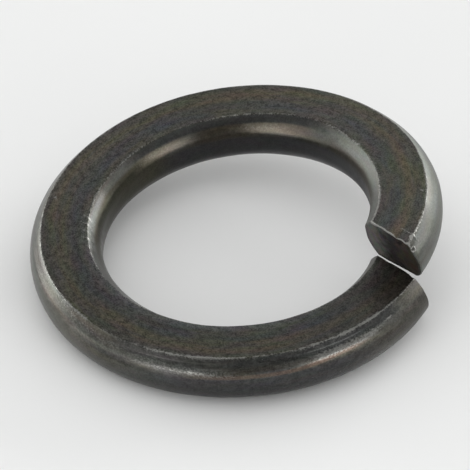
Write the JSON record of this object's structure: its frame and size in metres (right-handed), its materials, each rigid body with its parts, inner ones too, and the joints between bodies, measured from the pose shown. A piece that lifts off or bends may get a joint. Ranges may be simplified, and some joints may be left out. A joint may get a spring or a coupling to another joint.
{
  "type": "spring lock washer",
  "caption": "Split spring lock washer of round-sided wire: a flat-faced ring cut slanting, with one end sprung up above the other.",
  "frame": {"origin": "on the axis of the bore, at the height of the lowest corner of the lower end", "axes": "+Z along the bore axis towards the raised end's face, +X from the axis towards the split"},
  "size_m": [0.0286, 0.0286, 0.0071],
  "materials": {
    "black_steel": "satin"
  },
  "bodies": {
    "root": {"spring_washer": "black_steel"}
  },
  "joints": []
}
